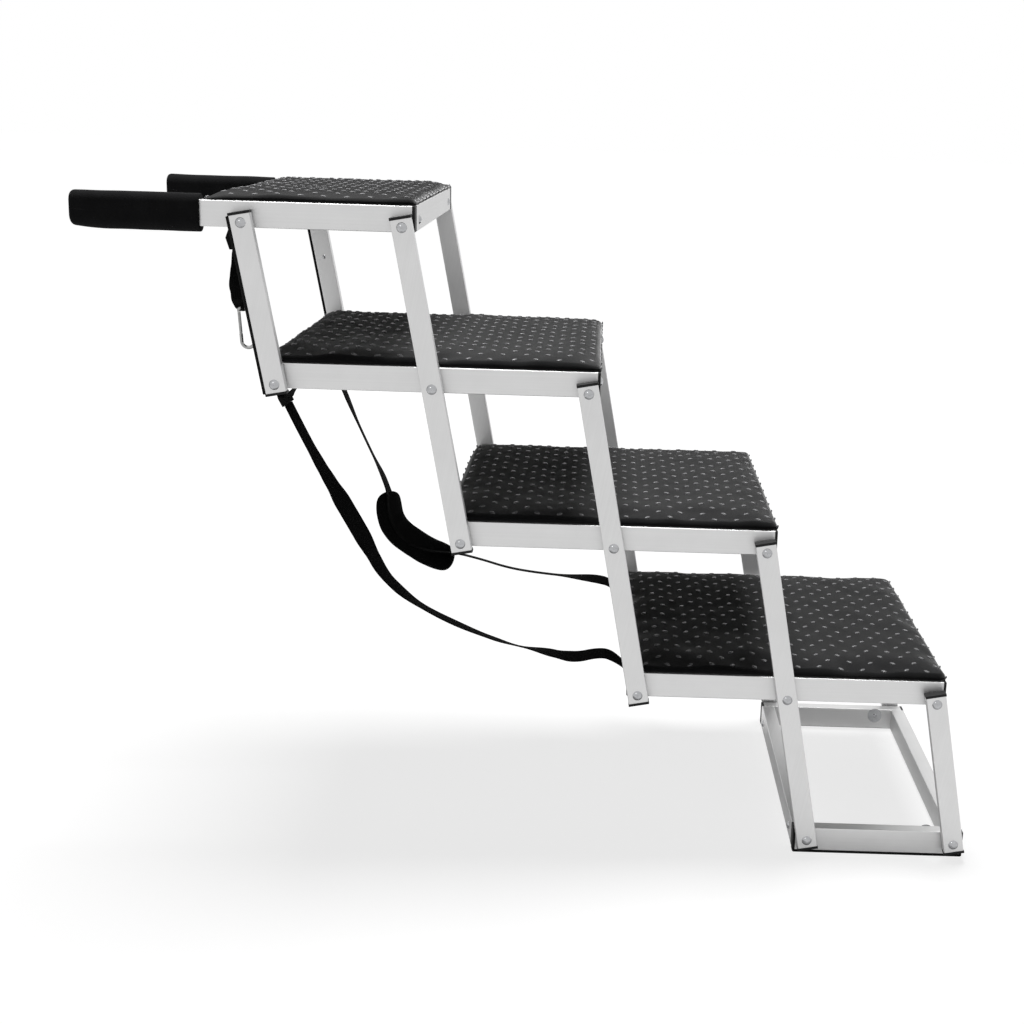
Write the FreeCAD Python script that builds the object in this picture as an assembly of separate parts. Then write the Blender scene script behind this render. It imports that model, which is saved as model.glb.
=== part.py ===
"""Folding pet stairs: four padded treads and an open base frame on parallel legs.

Millimetres, +Z up, +X from the handles down towards the floor end, +Y to the far side.
The origin is under the middle of the top tread's rear cross rail, where it rests on a tailgate.
Legs are lettered a to e from the top, levels are 0 to 3 for the treads and 4 for the base.
"""

import math
import os

import FreeCAD
import Part

V = FreeCAD.Vector

# Driving sizes of the linkage
pivot_pitch = 165.0        # between neighbouring pivots along a side rail
leg_lean = 31.5            # how far ahead a leg's next pivot lies in use
step_rise = 166.0          # from one level to the next in use
first_pivot_ahead = 28.0   # leg a's top pivot, ahead of the top tread's rear cross rail
tread_pivot_up = 6.0       # above the underside of a tread's rails
base_pivot_up = 18.5       # above the underside of the base's rails
frame_width = 424.0        # over the outer faces of the side rails
tread_levels = 4
base_level = 4

# Rails
rail_height = 27.0
rail_width = 17.0
rail_wall = 1.5
rail_edge = 1.2            # outer edge radius
tread_overhang = 12.0      # side rail's end beyond its last pivot
base_overhang = 14.0
end_cap_thick = 3.1        # black plate that closes a side rail's end
end_cap_round = 1.0
tongue_length = 62.0       # corner block's tongue, from the outer corner
cross_rivet_in = 43.0      # from the outer corner
cross_rivet_radius = 5.0
cross_rivet_height = 2.6
side_rivet_in = 39.0
corner_rivet_up = 11.0
corner_rivet_radius = 2.4
corner_rivet_height = 1.3
inner_washer_radius = 9.5  # round the rivet inside the base's front corners
inner_washer_thick = 0.8
foot_thick = 2.5
foot_width = 10.0
foot_round = 2.2

# Treads
deck_thick = 4.0
deck_gap = 2.5             # behind the board, where webbing goes round the rail
mat_gap = 0.3              # soft pieces stay this clear of what they lie on
mat_edge_height = 6.0
mat_crown = 2.8
mat_draw_in = 2.5          # the middle of a side, inside the line between its corners
mat_corner = 9.0
mat_shoulder = 3.0         # the top outline, inside the widest one
mat_belly_up = 2.6         # height of the widest outline
mat_foot_in = 1.0
mat_crown_in = 60.0
mat_overlap = 0.6          # the top tread's mat starts this far over the cross rail's rear edge

# Legs and their rivets
leg_width = 22.0
leg_thick = 12.0
leg_wall = 1.3
leg_edge = 1.0
leg_over = 8.5             # tube beyond its end pivots
leg_gap = 4.0              # between a rail's outer face and a leg
cap_thick = 2.8
cap_proud = 0.4
cap_plug = 4.0
strip_thick = 3.0          # rubber strip on the rear edge of the top legs
strip_round = 1.2
strip_rivet_down = 73.0    # small rivet inside the top legs, below their top pivot
pin_radius = 3.0
pin_play = 0.05
pin_head_radius = 5.5
pin_head_height = 3.0
pin_collar_radius = 5.0
pin_tail_radius = 4.0
pin_tail_length = 2.5
tail_room = 0.5

# Handle grips
grip_front_back = 17.0     # the grip's front end, behind the origin
grip_end_wall = 3.0
grip_side = 3.2
grip_cover = 6.0
grip_round = 11.0
grip_end_round = 4.0

# Tether with its hook
tether_in = 110.0          # from the near rail's outer face to the tether's middle
web_width = 25.0
web_thick = 1.6
web_gap = 0.3
tether_hang = -4.6         # where the tether hangs, ahead of the rail's middle
tether_slider_top = 7.5    # below the rail's underside
tether_slider_waist = 18.5
tether_slider_bottom = 31.0
tether_slider_depth = 30.0
tether_slider_half_waist = 7.2
tether_slider_half_end = 3.1
tether_eye_down = 95.5
tether_eye_play = 0.4
tether_bridge_width = 3.4  # the fold that the hook hangs in
hook_rod_radius = 2.0
hook_top_flat = 4.2
hook_top_round = 2.8
hook_bottom_round = 7.2
hook_length = 48.5         # over the rod
hook_tilt = 8.0            # degrees
gate_radius = 1.75
gate_play = 0.35
gate_low_share = 0.24      # of the straight run between the hook's two bends
gate_high_share = 0.97
gate_tang = 1.4
gate_pin_radius = 0.8
gate_eye_radius = 1.6

# Carry straps
strap_in = 82.0            # from the rails' outer faces to the straps' middles
strap_slider_length = 11.0
strap_slider_thick = 4.6
strap_slider_depth = 29.0
shoulder_thick = 8.0
shoulder_width = 45.0
shoulder_gap = 0.3

# The tether's webbing below its slider: share of the way down, x, and its turn in degrees
tether_twist_shares = [(0.0, tether_hang, 0.0), (0.34, -2.6, 14.0), (0.67, 0.2, 40.0), (1.0, 2.4, 90.0)]

# Its folded end: height above the eye, half width and half thickness, down to the mouth of its pocket
tether_end = [(19.5, 12.5, 0.8), (9.5, 12.1, 3.6), (1.0, 9.8, 4.0), (-4.0, 5.8, 4.0)]

# Routes of the carry straps and the shoulder pad: x and z in the plane of the strap
route_near = [(56.4, -196.8), (84.0, -248.0), (118.0, -304.0), (147.0, -354.0), (163.0, -385.0),
              (183.0, -406.0), (212.0, -426.5), (258.0, -448.5), (307.0, -466.0), (345.0, -472.5),
              (380.0, -480.5), (408.0, -473.5), (424.0, -476.0), (437.6, -488.0)]
route_far = [(68.5, -196.0), (92.0, -249.0), (114.0, -296.0), (138.0, -345.0), (146.0, -378.0),
             (160.0, -404.0), (190.0, -427.0), (222.0, -428.0), (254.0, -435.5), (287.0, -445.5),
             (320.0, -450.5), (370.0, -455.0), (406.0, -457.5), (424.0, -463.0), (437.6, -478.0)]
route_shoulder = [(134.1, -352.3), (140.8, -380.0), (155.6, -407.7), (187.0, -435.0), (219.0, -437.0)]

# Sliders of the carry straps: x and z of the middle, lean from the upright and turn about its own line
slider_near = (53.6, -191.5, 28.3, 9.0)
slider_far = (66.1, -190.5, 23.5, 2.0)

# Ends
outer_y = frame_width / 2
inner_y = outer_y - rail_width
leg_inner_y = outer_y + leg_gap
leg_outer_y = leg_inner_y + leg_thick
leg_span = math.hypot(leg_lean, step_rise)
lean_angle = math.degrees(math.atan2(leg_lean, step_rise))
leg_letters = "abcde"
strap_y = outer_y - strap_in
tether_y = tether_in - outer_y


def pivot(leg, level):
    """x and z of the pivot of a leg (0 for a) at a level."""
    return first_pivot_ahead + leg * pivot_pitch + level * leg_lean, tread_pivot_up - level * step_rise


def level_floor(level):
    """Height of the underside of a level's rails."""
    up = base_pivot_up if level == base_level else tread_pivot_up
    return pivot(0, level)[1] - up


def level_ends(level):
    """x of the rear and front ends of a level's side rails."""
    over = base_overhang if level == base_level else tread_overhang
    front = level if level == base_level else level + 1
    return pivot(level - 1, level)[0] - over, pivot(front, level)[0] + over


def box(x, y, z):
    """A box between pairs of coordinates."""
    return Part.makeBox(x[1] - x[0], y[1] - y[0], z[1] - z[0], V(x[0], y[0], z[0]))


def cylinder(radius, start, end):
    """A cylinder from one point to another."""
    start, end = V(*start), V(*end)
    return Part.makeCylinder(radius, (end - start).Length, start, end - start)


def prism(points, way):
    """A prism on a closed outline of straight sides."""
    return Part.Face(Part.makePolygon([*points, points[0]])).extrude(way)


def rounded_rectangle(width, height, radius):
    """A face in the YZ plane with one corner at the origin, its four corners rounded."""
    r, mid = radius, radius * (1 - math.sqrt(0.5))
    p = lambda y, z: V(0, y, z)
    w, h = width, height
    edges = [
        Part.makeLine(p(r, 0), p(w - r, 0)),
        Part.Arc(p(w - r, 0), p(w - mid, mid), p(w, r)).toShape(),
        Part.makeLine(p(w, r), p(w, h - r)),
        Part.Arc(p(w, h - r), p(w - mid, h - mid), p(w - r, h)).toShape(),
        Part.makeLine(p(w - r, h), p(r, h)),
        Part.Arc(p(r, h), p(mid, h - mid), p(0, h - r)).toShape(),
        Part.makeLine(p(0, h - r), p(0, r)),
        Part.Arc(p(0, r), p(mid, mid), p(r, 0)).toShape(),
    ]
    return Part.Face(Part.Wire(edges))


def tube(length, width, height, wall, edge):
    """A rectangular tube along +X with rounded outer edges, one corner at the origin."""
    outer = rounded_rectangle(width, height, edge).extrude(V(length, 0, 0))
    inner = box((0, length), (wall, width - wall), (wall, height - wall))
    return outer.cut(inner)


def placed(shape, x, y, z, turn=0.0):
    """A copy turned about Z and moved."""
    shape = shape.copy()
    shape.rotate(V(0, 0, 0), V(0, 0, 1), turn)
    shape.translate(V(x, y, z))
    return shape


def mirrored(shape):
    """The same piece on the other side."""
    return shape.mirror(V(0, 0, 0), V(0, 1, 0))


def both_sides(shape):
    """A piece and its mirror image as one shape."""
    return Part.makeCompound([shape, mirrored(shape)])


def rail_pivots(level):
    """x and z of the pivots on a level's side rails."""
    return [pivot(leg, level) for leg in range(len(leg_letters)) if level in leg_stations(leg)]


def side_rails(level):
    """The two side rails, drilled for the leg rivets and let in for the corner blocks' tongues."""
    rear, front = level_ends(level)
    floor, inside = level_floor(level), rail_width - rail_wall
    start, end = rear + end_cap_thick * (level > 0), front - end_cap_thick
    near = placed(tube(end - start, rail_width, rail_height, rail_wall, rail_edge), start, -outer_y, floor)
    for x, _, sx, sy in corners(level):
        if sy > 0:
            notch = box(sorted((x, x + sx * inside)), (-outer_y + inside, -inner_y),
                        (floor + rail_wall, floor + rail_height - rail_wall))
            near = near.cut(notch)
    for x, z in rail_pivots(level):
        ends = (x, -outer_y - rail_wall, z), (x, -outer_y + 2 * rail_wall, z)
        near = near.cut(cylinder(pin_radius + pin_play, *ends))
    return both_sides(near)


def cross_rails(level):
    """Front and rear cross rails, butted between the side rails."""
    plain = tube(2 * inner_y, rail_width, rail_height, rail_wall, rail_edge)
    fronts = cross_rail_section(level)[0][1], level_ends(level)[1]
    return Part.makeCompound([placed(plain, x, -inner_y, level_floor(level), 90) for x in fronts])


def corners(level):
    """Where a level's corner blocks go: x, y and the signs that point into the frame."""
    rear, front = level_ends(level)
    return [(x, y, -1 if x == front else 1, -1 if y > 0 else 1)
            for x in ((rear, front) if level > 0 else (front,)) for y in (-outer_y, outer_y)]


def corner_block():
    """A plate, a core and two tongues, in the corner of a frame that runs to +X and +Y."""
    low, high = rail_wall, rail_height - rail_wall
    inside = rail_width - rail_wall
    plate = rounded_rectangle(rail_width, rail_height, rail_edge).extrude(V(end_cap_thick, 0, 0))
    plate = plate.makeFillet(end_cap_round, [e for e in plate.Edges if e.BoundBox.XMax < end_cap_thick / 2])
    core = box((end_cap_thick, inside), (rail_wall, inside), (low, high))
    room = rail_wall + pin_tail_length + tail_room
    tongues = [box((inside, tongue_length), (room, inside), (low, high)),
               box((end_cap_thick, inside), (inside, rail_width), (low, high)),
               box((rail_wall, inside), (rail_width, tongue_length), (low, high))]
    return plate.fuse([core, *tongues]).removeSplitter()


def corner_blocks(level):
    """The plastic corner blocks, with room for the tails of the leg rivets."""
    blocks = []
    for x, y, sx, sy in corners(level):
        block = corner_block()
        if sx < 0:
            block = block.mirror(V(0, 0, 0), V(1, 0, 0))
        if sy < 0:
            block = mirrored(block)
        block.translate(V(x, y, level_floor(level)))
        depth = rail_wall + pin_tail_length + tail_room
        for px, pz in rail_pivots(level):
            block = block.cut(cylinder(pin_tail_radius + tail_room, (px, y, pz), (px, y + sy * depth, pz)))
        blocks.append(block)
    return Part.makeCompound(blocks)


def turned_piece(profile, at, way):
    """A solid of revolution from pairs of distance along way and radius, its last run a domed end."""
    (far, wide), (tip, _) = profile[-2:]
    height = tip - far
    ball = (wide * wide + height * height) / (2 * height)
    half = math.asin(wide / ball) / 2
    points = [V(r, 0, t) for t, r in profile[:-1]]
    middle = V(ball * math.sin(half), 0, tip - ball + ball * math.cos(half))
    foot, top = V(0, 0, points[0].z), V(0, 0, tip)
    edges = [Part.makeLine(p, q) for p, q in zip([foot, *points], points)]
    edges += [Part.Arc(points[-1], middle, top).toShape(), Part.makeLine(top, foot)]
    piece = Part.Face(Part.Wire(edges)).revolve(V(0, 0, 0), V(0, 0, 1), 360)
    piece.Placement = FreeCAD.Placement(V(*at), FreeCAD.Rotation(V(0, 0, 1), V(*way)))
    return piece


def dome(radius, height, at, way):
    """A low domed rivet head on a face at a point, bulging along way."""
    return turned_piece([(0, radius), (height, 0)], at, way)


def corner_rivets(level):
    """Rivets of the corner blocks: large outside on the cross rails, small inside on the side rails."""
    heads = []
    floor = level_floor(level)
    for x, y, sx, sy in corners(level):
        at = (x, y + sy * cross_rivet_in, floor + corner_rivet_up)
        heads.append(dome(cross_rivet_radius, cross_rivet_height, at, (-sx, 0, 0)))
        ringed = level == base_level and sx < 0
        up = base_pivot_up if ringed else corner_rivet_up
        at = (x + sx * side_rivet_in, y + sy * rail_width, floor + up)
        lift = inner_washer_thick if ringed else 0
        ring = [(0, inner_washer_radius), (lift, inner_washer_radius)] if ringed else []
        profile = [*ring, (lift, corner_rivet_radius), (lift + corner_rivet_height, 0)]
        heads.append(turned_piece(profile, at, (0, sy, 0)))
    return Part.makeCompound(heads)


def deck(level):
    """The board that fills a tread's frame, flush with the top of its rails."""
    rear, front = level_ends(level)
    back = cross_rail_section(level)[0][1] + deck_gap
    top = level_floor(level) + rail_height
    return box((back, front - rail_width), (-inner_y, inner_y), (top - deck_thick, top))


def mat_outline(x, y, z, inset, draw):
    """A closed outline of four slightly hollow sides and four round corners."""
    x0, x1, y1 = x[0] + inset, x[1] - inset, y - inset
    r, mid = mat_corner, mat_corner * (1 - math.sqrt(0.5))
    xm = (x0 + x1) / 2
    p = lambda a, b: V(a, b, z)
    edges = [
        Part.Arc(p(x0 + r, -y1), p(xm, -y1 + draw), p(x1 - r, -y1)).toShape(),
        Part.Arc(p(x1 - r, -y1), p(x1 - mid, -y1 + mid), p(x1, -y1 + r)).toShape(),
        Part.Arc(p(x1, -y1 + r), p(x1 - draw, 0), p(x1, y1 - r)).toShape(),
        Part.Arc(p(x1, y1 - r), p(x1 - mid, y1 - mid), p(x1 - r, y1)).toShape(),
        Part.Arc(p(x1 - r, y1), p(xm, y1 - draw), p(x0 + r, y1)).toShape(),
        Part.Arc(p(x0 + r, y1), p(x0 + mid, y1 - mid), p(x0, y1 - r)).toShape(),
        Part.Arc(p(x0, y1 - r), p(x0 + draw, 0), p(x0, -y1 + r)).toShape(),
        Part.Arc(p(x0, -y1 + r), p(x0 + mid, -y1 + mid), p(x0 + r, -y1)).toShape(),
    ]
    return Part.Wire(edges)


def mat(level):
    """The padded mat of a tread: drawn-in sides, a rounded edge and a crown."""
    rear, front = level_ends(level)
    if level == 0:
        rear = -rail_width / 2 - mat_overlap
    z = level_floor(level) + rail_height + mat_gap
    x, y = (rear, front), outer_y
    layers = [(0, mat_foot_in), (mat_belly_up, 0), (mat_edge_height, mat_shoulder),
              (mat_edge_height + mat_crown, mat_crown_in)]
    wires = [mat_outline(x, y, z + up, inset, mat_draw_in) for up, inset in layers]
    shape = Part.makeLoft(wires, True, True)
    inner, _ = cross_rail_section(level)
    along = (inner[0] - rail_width, inner[1] + deck_gap)
    for y0 in webbing_places(level):
        half = web_width / 2 + web_gap
        shape = shape.cut(box(along, (y0 - half, y0 + half), (z, z + web_thick + web_gap)))
    return shape


def webbing_places(level):
    """y of the webbing loops on a level's rear cross rail."""
    return {0: [tether_y], 1: [-strap_y, strap_y], 3: [-strap_y, strap_y]}.get(level, [])


def upright(shape, leg, level):
    """Stands a leg piece, made hanging down from the origin, on its pivot at the rest angle."""
    shape.rotate(V(0, 0, 0), V(0, 1, 0), -lean_angle)
    x, z = pivot(leg, level)
    shape.translate(V(x, 0, z))
    return shape


def leg_stations(leg):
    """The levels that a leg is riveted to."""
    return range(max(leg - 1, 0), min(leg + 1, base_level) + 1)


def leg_tubes(leg):
    """The near and far leg of a letter, with the rivet holes."""
    levels = leg_stations(leg)
    length = (levels[-1] - levels[0]) * leg_span
    piece = tube(length + 2 * leg_over, leg_thick, leg_width, leg_wall, leg_edge)
    piece.translate(V(0, 0, -leg_width / 2))
    piece.rotate(V(0, 0, 0), V(0, 1, 0), 90)
    piece.translate(V(0, -leg_outer_y, leg_over))
    for k in range(len(levels)):
        down = -k * leg_span
        ends = (0, -leg_outer_y - leg_wall, down), (0, -leg_inner_y + leg_wall, down)
        piece = piece.cut(cylinder(pin_radius + pin_play, *ends))
    return both_sides(upright(piece, leg, levels[0]))


def leg_caps(leg):
    """End caps with short plugs for both legs of a letter."""
    levels = leg_stations(leg)
    length = (levels[-1] - levels[0]) * leg_span
    caps = []
    wide, low, high = leg_width / 2 + cap_proud, -leg_outer_y - cap_proud, -leg_inner_y + cap_proud
    inset = cap_proud + leg_wall
    for z, way in ((leg_over, 1), (-length - leg_over, -1)):
        flat = sorted((z, z + way * cap_thick))
        plug = sorted((z, z - way * cap_plug))
        plate = box((-wide, wide), (low, high), flat)
        inner = box((inset - wide, wide - inset), (low + inset, high - inset), plug)
        caps.append(upright(plate.fuse(inner), leg, levels[0]))
    return both_sides(Part.makeCompound(caps))


def leg_rivets(leg):
    """Shoulder rivets: tail inside the rail, neck in its wall, collar, shank in the leg, domed head."""
    wall, gap = rail_wall, leg_gap
    profile = [(-wall - pin_tail_length, pin_tail_radius), (-wall - pin_play, pin_tail_radius),
               (-wall - pin_play, pin_radius), (pin_play, pin_radius), (pin_play, pin_collar_radius),
               (gap, pin_collar_radius), (gap, pin_radius), (gap + leg_thick, pin_radius),
               (gap + leg_thick, pin_head_radius), (gap + leg_thick + pin_head_height, 0)]
    rivets = []
    for level in leg_stations(leg):
        x, z = pivot(leg, level)
        rivets.append(turned_piece(profile, (x, -outer_y, z), (0, -1, 0)))
    if leg == 0:
        at = (0, -leg_inner_y, -strip_rivet_down)
        small = dome(corner_rivet_radius, corner_rivet_height, at, (0, 1, 0))
        rivets.append(upright(small, leg, 0))
    return both_sides(Part.makeCompound(rivets))


def leg_strips():
    """Rubber strips along the rear edge of the two top legs."""
    length = leg_span + 2 * leg_over
    strip = box((-leg_width / 2 - strip_thick, -leg_width / 2), (-leg_outer_y, -leg_inner_y),
                (leg_over - length, leg_over))
    outer = [e for e in strip.Edges if abs(e.BoundBox.XMax - strip.BoundBox.XMin) < strip_thick / 2]
    return both_sides(upright(strip.makeFillet(strip_round, outer), 0, 0))


def foot_strips():
    """Rubber strips under the base's side rails, rounded up at their ends."""
    rear, front = level_ends(base_level)
    floor = level_floor(base_level)
    strip = box((rear, front), (-outer_y, -outer_y + foot_width), (floor - foot_thick, floor))
    ends = [e for e in strip.Edges
            if e.BoundBox.ZMax < floor - foot_thick / 2 and e.BoundBox.XLength < foot_thick]
    return both_sides(strip.makeFillet(foot_round, ends))


def handle_grip():
    """The near foam grip: a closed sleeve over the rear end of the top side rail."""
    rear = level_ends(0)[0]
    length = -grip_front_back - rear + grip_end_wall
    width, height = rail_width + 2 * grip_side, rail_height + 2 * grip_cover
    sleeve = rounded_rectangle(width, height, grip_round).extrude(V(length, 0, 0))
    sleeve.translate(V(rear - grip_end_wall, -outer_y - grip_side, -grip_cover))
    end = [e for e in sleeve.Edges if e.BoundBox.XMax < rear]
    sleeve = sleeve.makeFillet(grip_end_round, end)
    core = rounded_rectangle(rail_width, rail_height, rail_edge).extrude(V(length, 0, 0))
    core.translate(V(rear, -outer_y, 0))
    return sleeve.cut(core)


def loop_points(x, z, clear):
    """The inner outline of webbing round a cross rail."""
    return [(x[0] - clear, z[0] - clear), (x[1] + clear, z[0] - clear), (x[1] + clear, z[1] + clear),
            (x[0] - clear, z[1] + clear)]


def web_loop(points, y):
    """Webbing of one thickness round an outline, its width along Y."""
    inner = Part.makePolygon([V(a, y - web_width / 2, b) for a, b in [*points, points[0]]])
    outer = inner.makeOffset2D(web_thick)
    ring = Part.Face(outer).cut(Part.Face(inner))
    return ring.extrude(V(0, web_width, 0))


def cross_rail_section(level):
    """x and z ranges of a level's rear cross rail."""
    rear = level_ends(level)[0] if level > 0 else -rail_width / 2
    floor = level_floor(level)
    return (rear, rear + rail_width), (floor, floor + rail_height)


def tether_loop():
    """The tether's webbing round the top tread's rear cross rail, with its neck down to the slider."""
    x, z = cross_rail_section(0)
    loop = web_loop(loop_points(x, z, web_gap), tether_y)
    half, half_width = web_thick / 2, web_width / 2
    neck = box((tether_hang - half, tether_hang + half), (tether_y - half_width, tether_y + half_width),
               (web_gap - tether_slider_top, -web_gap - half))
    return loop.fuse(neck).removeSplitter()


def tether_slider():
    """The slider below the loop, six-sided in section."""
    x, y0 = tether_hang, tether_y - tether_slider_depth / 2
    a, b = tether_slider_half_end, tether_slider_half_waist
    top, waist, bottom = -tether_slider_top, -tether_slider_waist, -tether_slider_bottom
    outline = [(x - a, top), (x + a, top), (x + b, waist), (x + a, bottom), (x - a, bottom), (x - b, waist)]
    return prism([V(p, y0, q) for p, q in outline], V(0, tether_slider_depth, 0))


def web_section(x, z, turn, width, thick):
    """A level outline across hanging webbing, turned about the vertical."""
    c, s = math.cos(math.radians(turn)), math.sin(math.radians(turn))
    w, t = width / 2, thick / 2
    return Part.makePolygon([V(x + a * s + b * c, tether_y + a * c - b * s, z)
                             for a, b in ((-w, -t), (w, -t), (w, t), (-w, t), (-w, -t))])


def tether_strap():
    """The webbing below the slider: a quarter twist, then an end folded round the hook's top bar."""
    x, eye_up = tether_twist_shares[-1][1], -tether_eye_down
    rows = [(eye_up + up, wide, thick) for up, wide, thick in tether_end]
    start, run = -tether_slider_bottom, rows[0][0] + tether_slider_bottom
    places = [(at, start + share * run, turn) for share, at, turn in tether_twist_shares]
    strap = Part.makeLoft([web_section(*place, web_width, web_thick) for place in places], True, True)
    end = Part.makeLoft([web_section(x, z, 90, 2 * wide, 2 * thick) for z, wide, thick in rows], True, True)
    low, _, thick = rows[-1]
    eye, half, reach = hook_rod_radius + tether_eye_play, tether_bridge_width / 2, web_width / 2
    pocket = box((x - reach, x + reach), (tether_y - thick, tether_y + eye), (low, eye_up + eye))
    bridge = box((x - half, x + half), (tether_y - thick, tether_y + thick), (low, eye_up + eye))
    bridge = bridge.cut(cylinder(eye, (x - half, tether_y, eye_up), (x + half, tether_y, eye_up)))
    return strap.fuse(end.cut(pocket)).fuse(bridge).removeSplitter()


def hook_turned(shape):
    """Tilts a hook piece, made upright about the eye, and hangs it in the eye."""
    shape.rotate(V(0, 0, 0), V(0, 1, 0), -hook_tilt)
    shape.translate(V(tether_twist_shares[-1][1], tether_y, -tether_eye_down))
    return shape


def hook_frame():
    """Points of the hook's centre line in its own plane, the top bar's middle at the origin."""
    top, bottom = hook_top_flat / 2 + hook_top_round, hook_bottom_round
    low = -(hook_length - 2 * hook_rod_radius) + hook_bottom_round
    return top, bottom, -hook_top_round, low


def hook_wire():
    """The closed centre line of the hook: a flat top, two limbs and a round bottom."""
    top, bottom, high, low = hook_frame()
    flat, r = hook_top_flat / 2, hook_top_round
    mid = r * math.sqrt(0.5)
    p = lambda a, b: V(a, 0, b)
    slope = math.atan2(top - bottom, high - low)
    tx, tz = bottom * math.cos(slope), low - bottom * math.sin(slope)
    return [
        Part.makeLine(p(-flat, 0), p(flat, 0)),
        Part.Arc(p(flat, 0), p(flat + mid, -r + mid), p(top, high)).toShape(),
        Part.makeLine(p(top, high), p(tx, tz)),
        Part.Arc(p(tx, tz), p(0, low - bottom), p(-tx, tz)).toShape(),
        Part.makeLine(p(-tx, tz), p(-top, high)),
        Part.Arc(p(-top, high), p(-flat - mid, -r + mid), p(-flat, 0)).toShape(),
    ], (V(-tx, 0, tz), V(-top, 0, high))


def hook_parts():
    """The hook's open body with its forked end, and the gate that closes it."""
    edges, (limb_low, limb_high) = hook_wire()
    run = limb_high - limb_low
    along = run * (1 / run.Length)
    pin = limb_low + run * gate_low_share
    nose = limb_low + run * gate_high_share
    path = Part.Wire([Part.makeLine(nose, limb_high), edges[5], *edges[:4], Part.makeLine(limb_low, pin)])
    disc = Part.Wire(Part.makeCircle(hook_rod_radius, nose, along))
    body = path.makePipeShell([disc], True, False)
    ball = Part.makeSphere(hook_rod_radius, pin)
    body = body.fuse(ball)
    slot_half = gate_tang / 2 + gate_play
    reach = gate_eye_radius + gate_play
    slot = Part.makeCylinder(reach, 2 * slot_half, pin - V(0, slot_half, 0), V(0, 1, 0))
    opening = box((0, hook_length), (-slot_half, slot_half), (-reach, reach))
    opening.rotate(V(0, 0, 0), V(0, 1, 0), -math.degrees(math.atan2(along.z, along.x)))
    opening.translate(pin)
    body = body.cut(slot.fuse(opening.common(Part.makeSphere(2 * hook_rod_radius, pin))))
    rod = Part.makeCylinder(gate_pin_radius, 2 * hook_rod_radius, pin - V(0, hook_rod_radius, 0), V(0, 1, 0))
    body = body.fuse(rod.common(ball)).removeSplitter()
    start = pin + along * (hook_rod_radius + gate_play)
    length = (nose - start).Length - gate_play
    gate = Part.makeCylinder(gate_radius, length, start, along)
    tang = Part.makeCylinder(gate_eye_radius, gate_tang, pin - V(0, gate_tang / 2, 0), V(0, 1, 0))
    bar = box((0, hook_rod_radius + 2 * gate_play), (-gate_tang / 2, gate_tang / 2),
              (-gate_eye_radius, gate_eye_radius))
    bar.rotate(V(0, 0, 0), V(0, 1, 0), -math.degrees(math.atan2(along.z, along.x)))
    bar.translate(pin)
    hole = Part.makeCylinder(gate_pin_radius + pin_play, gate_tang, pin - V(0, gate_tang / 2, 0), V(0, 1, 0))
    gate = gate.fuse([tang, bar]).cut(hole).removeSplitter()
    axis = hook_turned(Part.Vertex(pin)).Point
    print("gate pin", [round(c, 3) for c in (axis.x, axis.y, axis.z)])
    return hook_turned(body), hook_turned(gate)


def rounded_route(points):
    """Straight runs joined by tangent arcs, in the XZ plane, and the arcs' radii."""
    edges, radii, last = [], [], V(points[0][0], 0, points[0][1])
    for before, here, after in zip(points, points[1:], points[2:]):
        a, b, c = (V(q[0], 0, q[1]) for q in (before, here, after))
        back, ahead = a - b, c - b
        turn = math.pi - back.getAngle(ahead)
        cut = 0.45 * min(back.Length, ahead.Length)
        radius = cut / math.tan(turn / 2)
        back.normalize()
        ahead.normalize()
        start, end = b + back * cut, b + ahead * cut
        middle = back + ahead
        middle.normalize()
        top = b + middle * (radius / math.cos(turn / 2) - radius)
        edges += [Part.makeLine(last, start), Part.Arc(start, top, end).toShape()]
        radii.append(radius)
        last = end
    edges.append(Part.makeLine(last, V(points[-1][0], 0, points[-1][1])))
    return Part.Wire(edges), radii


def ribbon(points, y, width, thick, name):
    """Flat webbing along a route, its width along Y, its volume compared with section times length."""
    path, radii = rounded_route(points)
    first, second = V(points[0][0], 0, points[0][1]), V(points[1][0], 0, points[1][1])
    way = (second - first).normalize()
    across = V(way.z, 0, -way.x) * (thick / 2)
    side = V(0, width / 2, 0)
    corner = [first + across + side, first - across + side, first - across - side, first + across - side]
    shape = path.makePipeShell([Part.makePolygon([*corner, corner[0]])], True, False)
    shape.translate(V(0, y, 0))
    print(name, "length", round(path.Length, 1), "volume share",
          round(shape.Volume / (width * thick * path.Length), 4), "radii", [round(r, 1) for r in radii])
    return shape


def strap_top_loops():
    """Webbing from the second tread's rear cross rail down to each strap's slider."""
    (x0, x1), (z0, z1) = cross_rail_section(1)
    loops = []
    for y, (bx, bz, lean, _) in ((-strap_y, slider_near), (strap_y, slider_far)):
        c, s = math.cos(math.radians(lean)), math.sin(math.radians(lean))
        up, t = strap_slider_length / 2 + web_thick, web_thick
        tx, tz = bx - s * up, bz + c * up
        points = [(x0 - web_gap, z1 + web_gap), (x1 + web_gap, z1 + web_gap), (x1 + web_gap, z0 - web_gap),
                  (tx + t * c, tz + t * s), (tx - t * c, tz - t * s), (x0 - web_gap, z0 - web_gap)]
        loops.append(web_loop(points, y))
    return Part.makeCompound(loops)


def strap_bottom_loops():
    """Webbing round the lowest tread's rear cross rail, where the straps end."""
    x, z = cross_rail_section(3)
    return Part.makeCompound([web_loop(loop_points(x, z, web_gap), y) for y in (-strap_y, strap_y)])


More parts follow.
